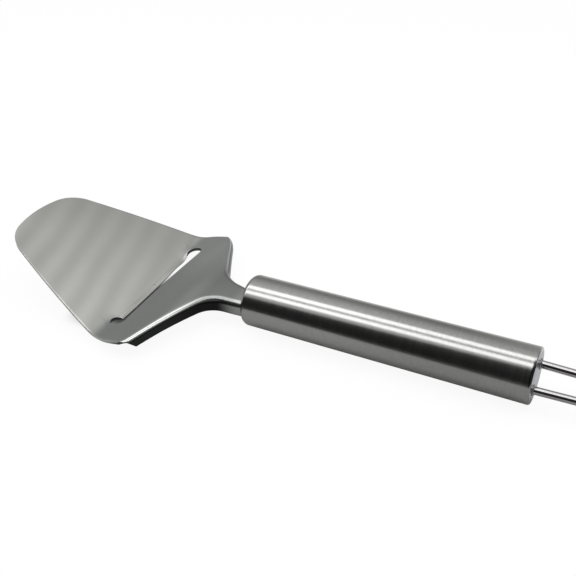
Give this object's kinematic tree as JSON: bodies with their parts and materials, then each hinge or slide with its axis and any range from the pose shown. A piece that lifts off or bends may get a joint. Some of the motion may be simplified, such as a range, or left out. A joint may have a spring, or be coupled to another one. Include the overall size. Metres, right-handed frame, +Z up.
{
  "type": "cheese slicer",
  "caption": "Hand cheese slicer: stamped spade-shaped steel blade with a cutting slot and folded frame on a straight tubular handle with a wire hanging loop.",
  "frame": {"origin": "on the table plane the handle tube would touch, under the centre of the whole bounding box", "axes": "+X along the handle towards the hanging loop, so the blade's tip points to -X; +Z up, the side the slice comes out on; +Y across the blade"},
  "size_m": [0.2236, 0.0728, 0.0235],
  "materials": {
    "sheet_steel": "satin blade and polished frame",
    "tube_steel": "finely brushed round the tube",
    "plug_steel": "plain",
    "cap_steel": "turned",
    "wire_steel": "polished"
  },
  "bodies": {
    "root": {"blade_head": "sheet_steel", "handle_tube": "tube_steel", "front_plug": "plug_steel", "end_cap": "cap_steel", "hanging_loop": "wire_steel"}
  },
  "joints": []
}
